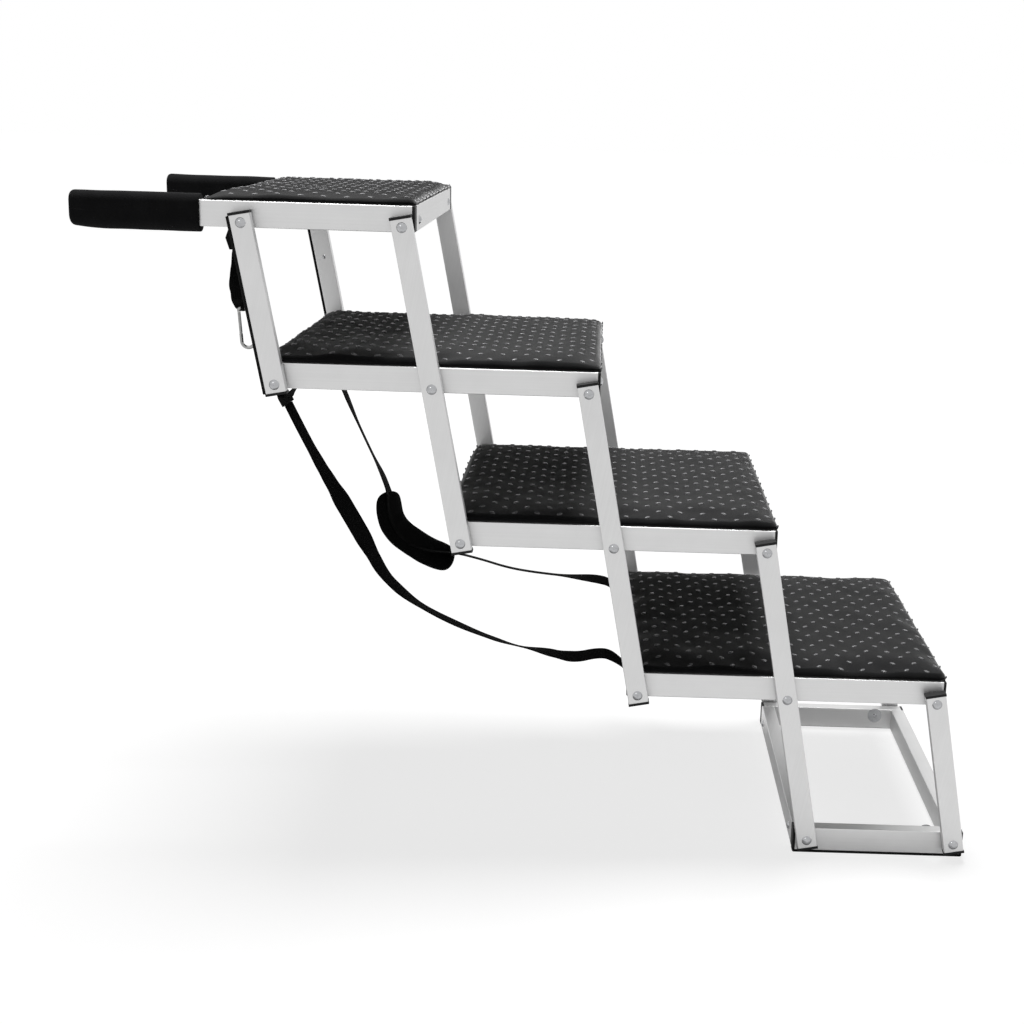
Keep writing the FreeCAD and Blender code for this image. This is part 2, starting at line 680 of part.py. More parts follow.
def strap_sliders():
    """A slider at the top of each carry strap, leaning and turned with it."""
    half, long, deep = strap_slider_thick / 2, strap_slider_length / 2, strap_slider_depth / 2
    pieces = []
    for y, (x, z, lean, turn) in ((-strap_y, slider_near), (strap_y, slider_far)):
        piece = box((-half, half), (-deep, deep), (-long, long))
        piece.rotate(V(0, 0, 0), V(0, 0, 1), -turn)
        piece.rotate(V(0, 0, 0), V(0, 1, 0), -lean)
        piece.translate(V(x, y, z))
        pieces.append(piece)
    return Part.makeCompound(pieces)


def build():
    """Every named piece and its shape."""
    parts = {}
    for level in range(tread_levels + 1):
        name = "base" if level == base_level else f"step_{level + 1}"
        parts[f"{name}_side_rails"] = side_rails(level)
        parts[f"{name}_cross_rails"] = cross_rails(level)
        parts[f"{name}_corner_blocks"] = corner_blocks(level)
        parts[f"{name}_corner_rivets"] = corner_rivets(level)
        if level < base_level:
            parts[f"{name}_deck"] = deck(level)
            parts[f"{name}_mat"] = mat(level)
    parts["base_foot_strips"] = foot_strips()
    for n, letter in enumerate(leg_letters):
        parts[f"legs_{letter}_tubes"] = leg_tubes(n)
        parts[f"legs_{letter}_caps"] = leg_caps(n)
        parts[f"legs_{letter}_rivets"] = leg_rivets(n)
    parts["legs_a_strips"] = leg_strips()
    grip = handle_grip()
    parts["grip_near"], parts["grip_far"] = grip, mirrored(grip)
    parts["tether_loop"] = tether_loop()
    parts["tether_slider"] = tether_slider()
    parts["tether_strap"] = tether_strap()
    parts["hook_body"], parts["hook_gate"] = hook_parts()
    parts["carry_strap_near"] = ribbon(route_near, -strap_y, web_width, web_thick, "near strap")
    parts["carry_strap_far"] = ribbon(route_far, strap_y, web_width, web_thick, "far strap")
    parts["shoulder_pad"] = ribbon(route_shoulder, strap_y, shoulder_width, shoulder_thick, "shoulder pad")
    parts["strap_top_loops"] = strap_top_loops()
    parts["strap_bottom_loops"] = strap_bottom_loops()
    parts["strap_sliders"] = strap_sliders()
    return parts


os.makedirs("parts", exist_ok=True)
for name, shape in build().items():
    shape.exportStep(f"parts/{name}.step")
    state = "valid" if shape.isValid() else "NOT VALID"
    print(name, state, len(shape.Solids), "solids", round(shape.Volume))
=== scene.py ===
# %% [markdown]
# # Folding pet stairs, dressed
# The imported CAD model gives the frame: rails, legs, rivets and hardware at their real sizes.
# This script adds what CAD draws too plainly, which is every soft thing, and gives each surface
# its material. It is read from top to bottom, one step at a time.

import bpy
import numpy as np
from mathutils import Matrix, Vector


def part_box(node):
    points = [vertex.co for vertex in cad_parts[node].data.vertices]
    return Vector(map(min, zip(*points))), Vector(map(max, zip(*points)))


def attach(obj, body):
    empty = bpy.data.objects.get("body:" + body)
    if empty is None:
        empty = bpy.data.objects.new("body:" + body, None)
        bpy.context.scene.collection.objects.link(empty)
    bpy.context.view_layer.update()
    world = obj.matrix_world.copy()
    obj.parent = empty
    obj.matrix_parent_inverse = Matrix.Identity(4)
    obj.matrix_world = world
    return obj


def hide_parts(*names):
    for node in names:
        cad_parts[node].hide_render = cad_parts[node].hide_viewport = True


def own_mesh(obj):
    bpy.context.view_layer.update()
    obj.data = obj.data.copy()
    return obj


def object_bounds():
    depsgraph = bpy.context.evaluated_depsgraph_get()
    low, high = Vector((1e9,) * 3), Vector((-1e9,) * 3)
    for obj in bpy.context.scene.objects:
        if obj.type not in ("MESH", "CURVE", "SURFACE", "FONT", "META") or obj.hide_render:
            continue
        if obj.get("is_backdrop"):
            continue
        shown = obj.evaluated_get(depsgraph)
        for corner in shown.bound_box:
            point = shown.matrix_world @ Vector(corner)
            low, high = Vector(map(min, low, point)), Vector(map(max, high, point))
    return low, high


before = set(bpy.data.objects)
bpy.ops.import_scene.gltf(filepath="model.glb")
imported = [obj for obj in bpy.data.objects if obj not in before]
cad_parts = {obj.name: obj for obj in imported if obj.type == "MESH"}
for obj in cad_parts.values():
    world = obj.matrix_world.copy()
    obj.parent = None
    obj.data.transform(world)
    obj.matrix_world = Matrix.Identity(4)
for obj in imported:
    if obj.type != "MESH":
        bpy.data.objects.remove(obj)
cad_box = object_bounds()
mm = 0.001
print("frame of", len(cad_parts), "nodes, from", tuple(cad_box[0]), "to", tuple(cad_box[1]))

# %% [markdown]
# ## The camera
# The photograph was taken square to the near side, from a little above the top tread, with a fairly
# long lens. The camera's place and its three directions were found by fitting the pivots of the legs,
# whose distances are known. A small shift of the lens keeps a little of the way in which the rails fan
# out there.

# %% Camera
right = Vector((0.99952, 0.00478, 0.03051))
up = Vector((-0.03070, 0.26231, 0.96449))
ahead = Vector((0.00340, 0.96497, -0.26233))
lens = bpy.data.cameras.new("camera")
lens.lens, lens.sensor_width = 60.28, 36.0
lens.shift_x, lens.shift_y = -0.0854, 0.0577
camera = bpy.data.objects.new("camera", lens)
turn = Matrix((right, up, -ahead)).transposed().to_4x4()
camera.matrix_world = Matrix.Translation((0.4001, -2.0111, 0.1335)) @ turn
bpy.context.scene.collection.objects.link(camera)
bpy.context.scene.camera = camera
print("camera", round(lens.lens, 1), "mm")

# %% [markdown]
# ## A helper for closed skins
# Most soft pieces here are the same kind of surface: a closed outline that is carried along a line
# and changes on the way. As numbers that is a table of points, one row for each outline. One helper
# turns the table into a mesh, closes its two ends with a fan of triangles, turns its faces outward
# and writes a UV map in metres, so that a weave can follow the cloth.

# %% Skins
def volume(points, faces):
    """Six times a closed mesh's volume: the sum over its triangles of a . (b x c).

    It is positive where the faces look outward."""
    a, b, c = (points[faces[:, k]] for k in range(3))
    return np.einsum("ij,ij->i", a, np.cross(b, c)).sum()


def steps(points, closed):
    """Distance along a line of points: the running sum of the gaps, also the closing one of a loop."""
    ends = np.vstack([points, points[:1]]) if closed else points
    return np.concatenate([[0], np.cumsum(np.linalg.norm(np.diff(ends, axis=0), axis=1))])


def skin(name, rows, loop=False):
    """A closed piece through a table of points, each row a closed outline.

    A face joins columns j and j + 1 of rows i and i + 1. A loop joins its last row to its first,
    and otherwise each end row is closed by triangles to its middle. In the UV map, u is the
    distance along the middles of the rows and v the distance round the outline."""
    rows = np.asarray(rows, float)
    count, around = rows.shape[:2]
    bands = np.arange(count if loop else count - 1)
    i, j = (k.ravel() for k in np.meshgrid(bands, np.arange(around), indexing="ij"))
    i_next, j_next = (i + 1) % count, (j + 1) % around
    quads = np.stack([i * around + j, i * around + j_next,
                      i_next * around + j_next, i_next * around + j], 1)
    points = rows.reshape(-1, 3)
    u = steps(rows.mean(axis=1), loop)
    v = steps(rows[count // 2], True)
    uv = np.stack([np.stack([u[i], u[i], u[i + 1], u[i + 1]], 1),
                   np.stack([v[j], v[j + 1], v[j + 1], v[j]], 1)], 2)
    fans = np.zeros((0, 3), int)
    if not loop:
        points = np.vstack([points, rows[0].mean(axis=0), rows[-1].mean(axis=0)])
        k = np.arange(around)
        low, high = k, (count - 1) * around + k
        low_next, high_next = (k + 1) % around, (count - 1) * around + (k + 1) % around
        first, last = np.full(around, count * around), np.full(around, count * around + 1)
        fans = np.vstack([np.stack([low_next, low, first], 1), np.stack([high, high_next, last], 1)])
    halves = np.vstack([quads[:, [0, 1, 2]], quads[:, [0, 2, 3]], fans])
    if volume(points, halves) < 0:
        quads, uv, fans = quads[:, ::-1], uv[:, ::-1], fans[:, ::-1]
    mesh = bpy.data.meshes.new(name)
    mesh.from_pydata(points.tolist(), [], quads.tolist() + fans.tolist())
    layer = mesh.uv_layers.new(name="UVMap")
    flat = np.vstack([uv.reshape(-1, 2), np.zeros((len(fans) * 3, 2))])
    layer.data.foreach_set("uv", flat.ravel())
    mesh.polygons.foreach_set("use_smooth", np.ones(len(mesh.polygons), bool))
    piece = bpy.data.objects.new(name, mesh)
    bpy.context.scene.collection.objects.link(piece)
    return piece


corner_faces = np.array([[0, 2, 1], [0, 1, 3], [1, 2, 3], [0, 3, 2]])
print("six times the volume of a unit corner:", abs(volume(np.eye(4, 3), corner_faces)))

# %% [markdown]
# ## Webbing that follows a line
# The carry straps and the tether are flat woven webbing, 25 mm wide and 1.6 mm thick. Such a band is
# a thin rounded outline whose width stays level across its line, apart from the twist that it takes
# where it hangs free.

# %% Webbing outline and its ride along a line
web_wide, web_thick = 25 * mm, 1.6 * mm


def band(wide, thick, count=20, power=6.0):
    """A flat oval, as pairs across and through: |2 a / wide|^power + |2 b / thick|^4 = 1."""
    t = np.arange(count) / count * 2 * np.pi
    a = np.sign(np.cos(t)) * np.abs(np.cos(t)) ** (2 / power) * wide / 2
    return np.stack([a, np.sign(np.sin(t)) * np.abs(np.sin(t)) ** 0.5 * thick / 2], 1)


def carried(line, outlines, turns=0.0, loop=False):
    """Outlines stood across a line that lies in a plane of constant y.

    The first direction of an outline is Y, the second is the line's own direction crossed with Y,
    and both are turned about the line by an angle in degrees."""
    line = np.asarray(line, float)
    if loop:
        way = np.roll(line, -1, axis=0) - np.roll(line, 1, axis=0)
    else:
        way = np.gradient(line, axis=0)
    way /= np.linalg.norm(way, axis=1)[:, None]
    level = np.broadcast_to([0.0, 1.0, 0.0], way.shape)
    through = np.cross(way, level)
    angle = np.radians(np.broadcast_to(turns, len(line)))[:, None]
    across = np.cos(angle) * level + np.sin(angle) * through
    through = np.cos(angle) * through - np.sin(angle) * level
    outlines = np.broadcast_to(outlines, (len(line), *np.shape(outlines)[-2:]))
    return line[:, None] + outlines[..., :1] * across[:, None] + outlines[..., 1:] * through[:, None]


print("webbing", round(web_wide / mm), "by", round(web_thick / mm, 1), "mm")

# %% [markdown]
# ## The two carry straps
# One strap hangs on each side from the second tread's rear cross rail to the lowest tread's. Both are
# limp and hang slack in a long curve. A smooth NURBS spline drawn by a few points is the natural way
# to lay them, because limp webbing has no corners. Each strap twists a little on its way, so that it
# shows its face in one place and its edge in the next.

# %% Routes of the straps
strap_y = 130
near_route = [(56.4, -196.8), (81.5, -248.5), (114.5, -304.5), (143.3, -355), (159.3, -386.5),
              (179.5, -408), (209, -429), (256.4, -451), (306, -468.5), (344.5, -475), (380, -482.5),
              (408, -475), (424, -477), (437.6, -488)]
far_route = [(68.5, -196), (90, -250), (111.5, -297), (135.2, -346), (139.3, -379.3), (149.6, -403.3),
             (169, -417.4), (192.5, -429), (221.5, -429.8), (254, -437.3), (288, -447.3),
             (321.5, -452.5), (371.5, -456.8), (407, -459), (424, -464), (437.6, -478)]


def spline(route, y):
    """Points of a NURBS spline of order 3 that starts and ends on the ends of a route in millimetres."""
    curve = bpy.data.curves.new("route", "CURVE")
    curve.dimensions = "3D"
    line = curve.splines.new("NURBS")
    line.points.add(len(route) - 1)
    for point, (x, z) in zip(line.points, route):
        point.co = (x * mm, y * mm, z * mm, 1)
    line.order_u, line.use_endpoint_u, line.resolution_u = 3, True, 16
    carrier = bpy.data.objects.new("route", curve)
    bpy.context.scene.collection.objects.link(carrier)
    mesh = bpy.data.meshes.new_from_object(carrier)
    points = np.empty(len(mesh.vertices) * 3)
    mesh.vertices.foreach_get("co", points)
    bpy.data.objects.remove(carrier)
    return points.reshape(-1, 3)


near_line, far_line = spline(near_route, -strap_y), spline(far_route, strap_y)
print("strap lengths", [round(float(steps(line, False)[-1]), 4) for line in (near_line, far_line)])

# %% Carry straps
def along(line, stations, values):
    """Values at stations, given as shares of a line's length, eased between them by a cosine."""
    share = steps(line, False) / steps(line, False)[-1]
    at = np.clip(np.searchsorted(stations, share, side="right") - 1, 0, len(stations) - 2)
    stations, values = np.asarray(stations), np.asarray(values, float)
    part = (share - stations[at]) / (stations[at + 1] - stations[at])
    return values[at] + (values[at + 1] - values[at]) * (1 - np.cos(np.pi * np.clip(part, 0, 1))) / 2


web = band(web_wide, web_thick)
near_turn = along(near_line, [0, 0.1, 0.15, 0.19, 0.24, 0.32, 0.38, 0.45, 0.54, 0.6, 0.7, 0.76, 0.84,
                              0.88, 0.96, 1], [9, 9, 14, 20, 35, 35, 20, 9, -4, -3, -9, -16, 3, 11, 9, 3])
far_turn = along(far_line, [0, 0.06, 0.16, 0.22, 0.3, 0.38, 0.46, 0.55, 0.82, 0.94, 1],
                 [2, 1, -7, -7, 3, 20, 16, -11, -11, 10, 2])
strap_near = skin("carry_strap_near_webbing", carried(near_line, web, near_turn))
strap_far = skin("carry_strap_far_webbing", carried(far_line, web, far_turn))
for strap, node in ((strap_near, "carry_strap_near"), (strap_far, "carry_strap_far")):
    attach(strap, "step_2")
    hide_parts(node)
print("straps of", len(strap_near.data.vertices), "and", len(strap_far.data.vertices), "points")

# %% [markdown]
# ## The shoulder pad
# A soft sleeve of padded cloth rides on the far strap. It is a long flat pillow: full in the middle,
# thin along its bound edges, round at both ends and turned so that it shows its face. It is worked out
# as a flat oval whose width and thickness shrink towards the ends.

# %% Shoulder pad
pad_route = [(134.2, -351.7), (134.8, -381.3), (146.5, -403.4), (168, -418.4), (190.5, -432),
             (219, -440.5)]
pad_wide, pad_thick, pad_turn = 45 * mm, 11 * mm, 36


def pillow_ends(count, bluntness):
    """Shares s along a line, denser near its ends, and the width there: (1 - |2s - 1|^p)^(1/2)."""
    share = (1 - np.cos(np.linspace(0, np.pi, count))) / 2
    return share, np.sqrt(np.clip(1 - np.abs(2 * share - 1) ** bluntness, 1e-4, 1))


pad_line = spline(pad_route, strap_y)
share, full = pillow_ends(72, 11.0)
reach = steps(pad_line, False)
pad_points = np.stack([np.interp(share * reach[-1], reach, pad_line[:, k]) for k in range(3)], 1)
pillow = band(1, 1, 48, 2.6)
off_middle = np.abs(pillow[:, 0] * 2)
pillow[:, 1] *= 1 - 0.35 * off_middle ** 4
ripples = 1 + 0.05 * np.sin(share * 47)[:, None] * off_middle ** 2
pad_rows = pillow[None] * full[:, None, None] * [pad_wide, pad_thick]
pad_rows[..., 1] *= ripples
shoulder_pad = skin("shoulder_pad_cover", carried(pad_points, pad_rows, pad_turn))
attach(shoulder_pad, "step_2")
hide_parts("shoulder_pad")
print("shoulder pad", round(float(reach[-1] / mm)), "mm long")

# %% [markdown]
# ## Webbing sewn round the cross rails
# The straps and the tether hang from loops of the same webbing, pulled tight round a cross rail. A
# loop is the same band carried round a closed line. The line is a polygon whose corners are rounded by
# averaging each point with its neighbours, which is what a stiff band does when it is pulled round an
# edge.

# %% Loops round the rails
def rounded(corners, y, soft, count=240):
    """A closed polygon in x and z, as even points averaged twice over a stretch of it to each side."""
    corners = np.array([(x, y, z) for x, z in corners]) * mm
    reach = steps(corners, True)
    at = np.linspace(0, reach[-1], count, endpoint=False)
    line = np.stack([np.interp(at, reach, np.append(corners[:, k], corners[0, k])) for k in range(3)], 1)
    span = max(int(round(soft * mm / (reach[-1] / count))), 1)
    for _ in range(2):
        line = sum(np.roll(line, k, axis=0) for k in range(-span, span + 1)) / (2 * span + 1)
    return line


def webbing_loop(name, line):
    """A band of webbing carried once round a closed line."""
    return skin(name, carried(line, web, 0, True), True)


# In millimetres: two rear cross rails' sections (x from and to, z from and to), how far the middle of
# the webbing stands off them, which is half its thickness and a gap, and how soft its corners are
rail_2 = (47.5, 64.5, -166.0, -139.0)
rail_4 = (440.5, 457.5, -498.0, -471.0)
clear, softness = 1.2, 1.6
x0, x1, z0, z1 = np.add(rail_4, (-clear, clear, -clear, clear))
box_line = [(x0, z0), (x1, z0), (x1, z1), (x0, z1)]
bottom_loops = [webbing_loop(f"strap_bottom_loop_{side}", rounded(box_line, y, softness))
                for side, y in (("near", -strap_y), ("far", strap_y))]
print("bottom loops at the lowest tread:", len(bottom_loops))

# %% Loops above the straps' sliders
def hanging_loop(y, slider, twist, spread):
    """A loop round the second tread's rear cross rail, drawn down to a leaning slider in a Y.

    Below the rail it turns about the upright through the slider, by an angle that grows with
    the share s of the way down: x' = x cos(s a) + y sin(s a), y' = y cos(s a) - x sin(s a). The
    front limb, which may stand off by a spread, turns later than the rear one."""
    x0, x1, z0, z1 = np.add(rail_2, (-clear, clear, -clear, clear))
    x, z, lean = slider
    c, n = np.cos(np.radians(lean)), np.sin(np.radians(lean))
    # In the slider the two limbs lie side by side, from 7 mm to 0.5 mm above its middle
    t = web_thick / mm / 2 + 0.2
    top, low = ((x - n * above, z + c * above) for above in (7.0, 0.5))
    line = rounded([(x0, z1), (x1, z1), (x1, z0), (x1, z0 - 9 * spread),
                    (top[0] + t * c + 6 * spread, top[1] + t * n - 2 * spread),
                    (low[0] + t * c, low[1] + t * n), (low[0] - t * c, low[1] - t * n),
                    (top[0] - t * c, top[1] - t * n), (x0, z0)], y, 2.2)
    rows = carried(line, web, 0, True)
    under = rail_2[2]
    share = np.clip((under * mm - rows[..., 2]) / ((under - top[1]) * mm), 0, 1.2)
    a, b = rows[..., 0] - x * mm, rows[..., 1] - y * mm
    front = np.clip(line[:, 0] / mm - x, 0, 4)[:, None] / 4 * np.clip(1.2 - share, 0, 1)
    angle = np.radians(twist) * share * (1 - front)
    rows[..., 0] = x * mm + a * np.cos(angle) + b * np.sin(angle)
    rows[..., 1] = y * mm + b * np.cos(angle) - a * np.sin(angle)
    return rows


top_loops = [skin(f"strap_top_loop_{side}", hanging_loop(y, slider, twist, spread), True)
             for side, y, slider, twist, spread in (("near", -strap_y, (53.6, -191.5, 28.3), 18, 1),
                                                    ("far", strap_y, (66.1, -190.5, 23.5), 2, 0))]
for pieces, body, node in ((bottom_loops, "step_4", "strap_bottom_loops"),
                           (top_loops, "step_2", "strap_top_loops")):
    for piece in pieces:
        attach(piece, body)
        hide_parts(node)
print("top loops at the second tread:", len(top_loops))

# %% [markdown]
# ## The straps' sliders
# Each top loop ends at a plastic slider. The two have to make room when the frame folds, and only an
# added piece can do that, so their own CAD mesh is copied as it is.

# %% Sliders below the loops
sliders = bpy.data.objects.new("strap_slider_pair", bpy.data.objects["strap_sliders"].data.copy())
sliders.data.materials.clear()
bpy.context.scene.collection.objects.link(sliders)
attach(sliders, "step_2")
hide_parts("strap_sliders")
print("slider pair of", len(sliders.data.vertices), "points")

# %% [markdown]
# ## The tether
# The tether is a short strap on the top tread's rear cross rail. Its webbing goes through a slider,
# makes a quarter twist and is doubled and sewn at its end, where it grows thick. A narrow fold in
# front holds the top bar of a spring hook. Above the slider it is a loop with a short neck.

# %% Tether webbing
tether_y = -102
neck = [(-9.7, 28.2), (9.7, 28.2), (9.7, -1.2), (-2.6, -1.2), (-3.8, -9.5), (-5.4, -9.5),
        (-6.4, -1.2), (-9.7, -1.2)]
tether_loop = webbing_loop("tether_loop_webbing", rounded(neck, tether_y, softness))

# Its place in x by the distance hung below the rail's underside, then its turn, width and thickness
hang = np.array([(-4.6, 29.0), (-4.4, 36), (-3.6, 44), (-2.6, 52), (-1.2, 62), (0.4, 71), (1.7, 79),
                 (2.2, 86), (2.4, 100)])
down = np.concatenate([np.linspace(29, 90, 56), np.linspace(91, 99.4, 14)])
hang_x = np.interp(down, hang[:, 1], hang[:, 0])
hang_line = np.stack([hang_x, np.full(len(down), tether_y), -down], 1) * mm
hang_turn = np.interp(down, [31, 46, 61, 76, 92], [0, 14, 40, 90, 90])
hang_wide = np.interp(down, [29, 84, 88, 91, 94, 96.5, 98.3, 99.4],
                      [25, 25, 24.4, 23, 20.6, 17.4, 13, 7])
hang_thick = np.interp(down, [29, 70, 80, 86, 90, 93, 99.4], [1.6, 1.6, 4.0, 6.0, 4.2, 1.6, 1.5])
sections = band(1, 1, 28, 5.0)[None] * np.stack([hang_wide, hang_thick], 1)[:, None] * mm
hang_rows = carried(hang_line, sections, hang_turn)
hang_rows[..., 1] += np.interp(down, [86, 93], [0, 3.2])[:, None] * mm
tether_strap = skin("tether_strap_webbing", hang_rows)
print("tether of", len(tether_strap.data.vertices), "points")

# %% The fold through the hook
turns = np.arange(40) / 40 * 2 * np.pi
eye, fold_radius = np.array([2.4, tether_y, -95.5]), 3.3
narrow = band(4.0, 1.4, 16)[None]
outward = np.stack([0 * turns, np.sin(turns), np.cos(turns)], 1)
fold_rows = (eye + outward * fold_radius)[:, None] + narrow[..., :1] * [1, 0, 0]
fold_rows = fold_rows + narrow[..., 1:] * outward[:, None]
tether_fold = skin("tether_fold_webbing", fold_rows * mm, True)
for piece, body, node in ((tether_loop, "step_1", "tether_loop"), (tether_strap, "tether", "tether_strap"),
                          (tether_fold, "tether", "tether_strap")):
    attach(piece, body)
    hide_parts(node)
print("fold round the hook's top bar,", fold_radius, "mm out")

# %% [markdown]
# ## The padded mats
# Each tread carries a thin foam board wrapped in black anti-slip cloth. The cloth is pulled over the
# edges, so the top is slightly crowned, the sides draw in between the corners, and long shallow
# wrinkles run near the borders. Against the CAD mat its near edge lies 1 mm further in and its far
# edge 10 mm, where it also sags. It is worked out as one sheet: a point of the flat sheet that lies
# beyond the top's outline is carried over a rounded edge, down the side and under the board.

# %% The cover of a mat
# The edge's reach outward, its height, the corners' radius, where the side is widest, how far it turns
# in below and where the cloth ends; then the crown's height, the stretches along x and y over which it
# rises, how far in the wrinkles are strong, and the far edge's sag as a share
edge_out, edge_high, corner = 5.5 * mm, 6.8 * mm, 3.0 * mm
widest_at, turn_in, cloth_end = 2.4 * mm, 2.0 * mm, -10 * mm
crown, rise_along, rise_across, rim_reach, far_sag = 5.4 * mm, 30 * mm, 55 * mm, 30 * mm, 0.36
quarter = np.linspace(0, np.pi / 2, 14)
upper = [edge_out * np.sin(quarter), widest_at + (edge_high - widest_at) * np.cos(quarter)]
lower = [edge_out - turn_in * (1 - np.cos(quarter)), widest_at * (1 - np.sin(quarter))]
edge_line = np.vstack([np.stack(upper, 1), np.stack(lower, 1)[1:], [[cloth_end, 0]]])
edge_reach = steps(edge_line, False)

# For each tread: how far the rear edge draws in, the thickness as a share, how flat the near rear ear
# is, how far that ear sticks out, and how deep the crease before the far front corner is
looks = {1: (8.0 * mm, 0.78, 0.7, 5.0 * mm, 0.0), 2: (5.5 * mm, 1.08, 0.1, 0.0, 2.6 * mm),
         3: (-4.0 * mm, 1.0, 0.0, 0.0, 0.0), 4: (2.0 * mm, 1.0, 0.2, 0.0, 0.0)}
ear_size, crease_at, crease_soft, groove_wide = 20 * mm, 24 * mm, 3 * mm, 3.5 * mm


def waves(x, y, seed, count=16):
    """Shallow wrinkles: plane waves of seeded directions, 26 to 95 mm long, each 0.32 percent as high."""
    rng = np.random.default_rng(seed)
    long, way = rng.uniform(0.026, 0.095, count), rng.uniform(0, np.pi, count)
    shift = rng.uniform(0, 6.28, count)
    along_way = np.multiply.outer(x, np.cos(way)) + np.multiply.outer(y, np.sin(way))
    return (np.sin(along_way * 2 * np.pi / long + shift) * long * 0.0032).sum(axis=-1)


def near_spot(x, y, spot, size):
    """How near a point is to a spot: exp(-(distance / size)^2)."""
    return np.exp(-((x - spot[0]) ** 2 + (y - spot[1]) ** 2) / size ** 2)


def inner(points, half):
    """The nearest points of a rectangle that lies in by the edge and the corner's radius."""
    reach = np.asarray(half) - corner - edge_out
    return np.clip(points, -reach, reach)


def cover(p, q, half, level):
    """Where a point of the flat cloth goes on the mat.

    The nearest point of a rectangle with rounded corners is its place on the top. What is left
    over is measured along the edge's profile, which gives how far out and how high it is. From
    each border the top rises as 1 - (1 - d / r)^2 over a stretch r. The rear edge draws in, and
    beyond the middle of the far half the height falls by far_sag times (2 y / half - 1)^2. The
    far front corner is pressed down up to a crease, as 1 / 2 - tanh(d / soft) / 2, with a groove."""
    draw, share, flat_ear, stick_out, crease = looks[level]
    half_x, half_y = half
    flat = np.stack([p, q], -1)
    core = inner(flat, half)
    rest = flat - core
    far = np.linalg.norm(rest, axis=-1)
    over = np.clip(far - corner, 0, None)
    way = rest / np.maximum(far, 1e-9)[..., None]
    out = np.interp(over, edge_reach, edge_line[:, 0])
    high = np.interp(over, edge_reach, edge_line[:, 1])
    place = core + way * (np.minimum(far, corner) + out)[..., None]
    x, y = place[..., 0], place[..., 1]
    ax, ay = np.abs(x / half_x), np.abs(y / half_y)
    top = np.clip(high / edge_high, 0, 1) ** 2
    rise_x = 1 - np.clip(1 - (half_x - np.abs(x)) / rise_along, 0, 1) ** 2
    rise_y = 1 - np.clip(1 - (half_y - np.abs(y)) / rise_across, 0, 1) ** 2
    rim = np.exp(-np.minimum(half_x - np.abs(x), half_y - np.abs(y)) / rim_reach)
    ear = near_spot(x, y, (-half_x, -half_y), ear_size)
    z = high + top * (crown * rise_x * rise_y + waves(x, y, 40 + level) * (0.5 + 0.9 * rim))
    z *= share * (1 - flat_ear * ear) * (1 - far_sag * np.clip(2 * y / half_y - 1, 0, 1) ** 2)
    away = np.hypot(half_x - x, half_y - y) - crease_at
    groove = 0.7 * np.exp(-(away / groove_wide) ** 2)
    z -= top * crease * (0.5 - 0.5 * np.tanh(away / crease_soft) + groove)
    x = x + ax ** 8 * (1 - ay ** 4) * np.where(x < 0, draw, -0.5 * mm) - stick_out * ear
    y = y - 1.0 * mm * np.sign(y) * ay ** 8 * (1 - ax ** 2)
    return np.stack([x, y, z], -1)


print("edge of a mat:", round(float(edge_reach[-2] / mm), 1), "mm of cloth from top to underside")

# %% Mats
def around(half, count=460):
    """Points evenly along a sharp rectangle, as pairs."""
    a, b = half
    reach = [0, 2 * a, 2 * a + 2 * b, 4 * a + 2 * b, 4 * a + 4 * b]
    at = np.linspace(0, reach[-1], count, endpoint=False)
    return np.stack([np.interp(at, reach, [-a, a, a, -a, -a]), np.interp(at, reach, [-b, -b, b, b, -b])], 1)


def mat_rows(half, level):
    """Rows of points from the middle of the top, out over the edge and in again underneath.

    On the top each row is the outline times a share. Beyond it each row is further out by a
    length of cloth, in the direction from the nearest point of the inner rectangle."""
    sharp = around(np.asarray(half) - edge_out)
    core = inner(sharp, half)
    way = sharp - core
    way /= np.linalg.norm(way, axis=1)[:, None]
    shares = np.linspace(0, 1, 80)[1:] ** 0.85
    top = shares[:, None, None] * (core + way * corner)[None]
    over = core[None] + way[None] * (corner + edge_reach[1:, None, None])
    flat = np.vstack([top, over])
    return cover(flat[..., 0], flat[..., 1], half, level)


near_inset, far_inset = 1.0 * mm, 10.0 * mm
mats = {}
for level in range(1, 5):
    low, high = (np.array(corner_point) for corner_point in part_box(f"step_{level}_mat"))
    half = (high[:2] - low[:2]) / 2 - [0, (near_inset + far_inset) / 2]
    middle = np.array([*(low[:2] + high[:2]) / 2, low[2]]) + [0, (near_inset - far_inset) / 2, 0]
    mat = skin(f"step_{level}_mat_cover", mat_rows(half, level) + middle)
    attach(mat, f"step_{level}")
    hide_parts(f"step_{level}_mat")
    mats[level] = (mat, half, middle)
mat_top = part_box("step_1_mat")[1][2]
print("mats of", len(mats[2][0].data.vertices), "points, top", round(float(mat_top / mm), 1))

# %% [markdown]
# ## The grip pattern on the mats
# The anti-slip cloth carries short raised bars, moulded on at 38 degrees to one side and to the other
# in turn. They catch the light as small dashes. Each is a low bar of a few dozen faces with pointed ends
# and a nearly flat top. The sheet's own formula gives its place and its tilt, also where the cloth goes
# over the edge, so the front edges look serrated.

# %% Raised bars
bar_long, bar_wide, bar_high = 7.6 * mm, 4.2 * mm, 1.0 * mm
pitch_x, pitch_y, bar_slant = 24 * mm, 36 * mm, 38


